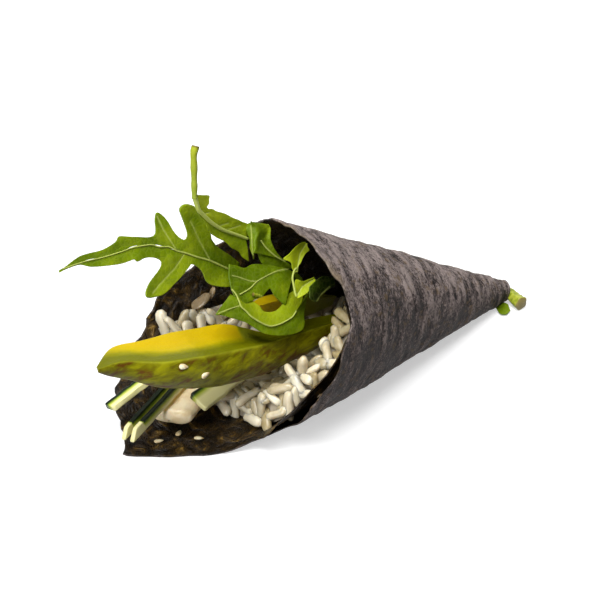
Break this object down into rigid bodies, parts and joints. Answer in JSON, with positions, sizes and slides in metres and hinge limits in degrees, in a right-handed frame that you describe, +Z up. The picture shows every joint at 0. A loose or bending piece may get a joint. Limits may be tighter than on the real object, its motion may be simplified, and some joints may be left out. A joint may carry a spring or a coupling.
{
  "type": "temaki hand roll",
  "caption": "Cone of rolled nori lying on its side, filled with rice, avocado slices, cucumber sticks, a soft pale strip and rocket leaves that stand out of its mouth.",
  "frame": {"origin": "middle of the flat strip on which the cone lies, at table level", "axes": "+Z up, the tip of the cone towards +X and its mouth towards -X, the outer edge of the mouth facing -Y"},
  "size_m": [0.1521, 0.0605, 0.0811],
  "materials": {
    "nori": "dry roasted seaweed sheet, grey violet outside with darker streaks, dark olive brown and slightly glossy inside",
    "rice": "moist cooked short rice grains, slightly see-through",
    "avocado": "ripe flesh, yellow at the cut face, green to olive under the removed skin",
    "cucumber": "wet pale green flesh with a strip of dark green skin",
    "pale_strip": "soft cream-coloured filling, smooth and moist",
    "leaf": "fresh rocket leaf, mid green with pale veins and soft sheen",
    "stem": "pale green cut leaf stem, brownish at the cut"
  },
  "bodies": {
    "root": {"nori_wrap": "nori", "rice": "rice", "avocado_slice_1": "avocado", "avocado_slice_2": "avocado", "cucumber_stick_1": "cucumber", "cucumber_stick_2": "cucumber", "cucumber_stick_3": "cucumber", "cucumber_stick_4": "cucumber", "pale_strip": "pale_strip", "leaf_long": "leaf", "leaf_upright": "leaf", "leaf_curled": "leaf", "leaf_front": "leaf", "leaf_pale": "leaf", "leaf_inner": "leaf", "tip_stem": "stem"}
  },
  "joints": []
}
